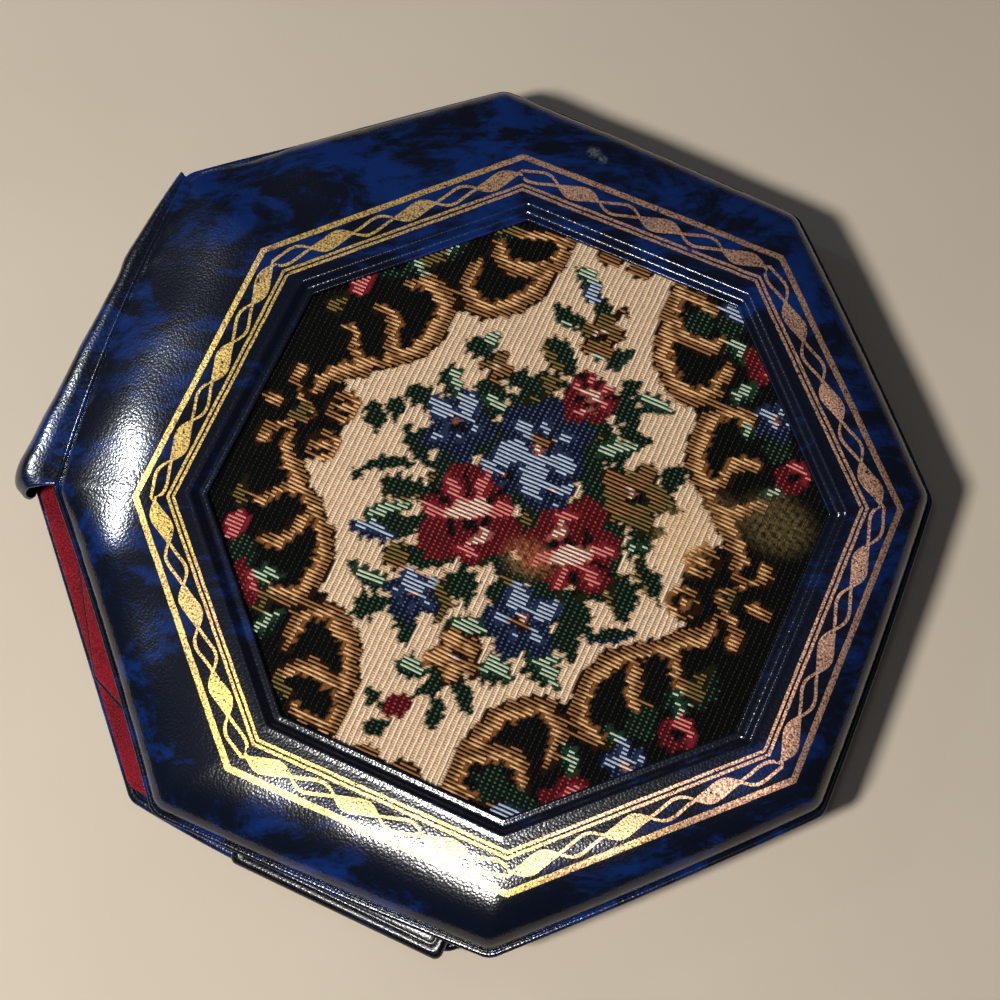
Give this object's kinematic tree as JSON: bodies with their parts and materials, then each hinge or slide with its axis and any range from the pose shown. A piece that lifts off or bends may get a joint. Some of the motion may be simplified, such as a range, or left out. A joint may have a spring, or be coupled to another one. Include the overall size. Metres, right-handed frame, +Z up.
{
  "type": "folding jewelry case",
  "caption": "Octagonal soft folding jewelry case: padded lid with a framed woven floral panel, flexible spine, lined hollow inside and a welded rim.",
  "frame": {"origin": "middle of the closed case's bounding box, on its underside", "axes": "+Z up out of the lid, +X from the spine towards the free edge, +Y along the spine"},
  "size_m": [0.125, 0.1198, 0.015],
  "materials": {
    "marbled_vinyl": "glossy pebble-grained PVC marbled navy and royal blue, with a stamped gold foil border on the lid",
    "dark_vinyl": "glossy dark navy PVC with welded edges",
    "velour": "short crimson pile",
    "tapestry": "machine-woven ribbed tapestry, cream and black grounds with flowers and scrolls"
  },
  "bodies": {
    "base": {"base_cover": "marbled_vinyl", "base_lining": "velour", "inner_leaf_back": "dark_vinyl", "inner_leaf_velour": "velour", "closing_tongue": "dark_vinyl", "spine_fold": "marbled_vinyl"},
    "lid": {"lid_cover": "marbled_vinyl", "tapestry_panel": "tapestry", "lid_lining": "velour"}
  },
  "joints": [
    {"name": "lid_fold", "type": "hinge", "parent": "base", "child": "lid", "pos_m": [-0.0624, 0, 0.0076], "axis": [0, -1, 0], "range_deg": [0, 180], "deforming": ["spine_fold"]}
  ]
}
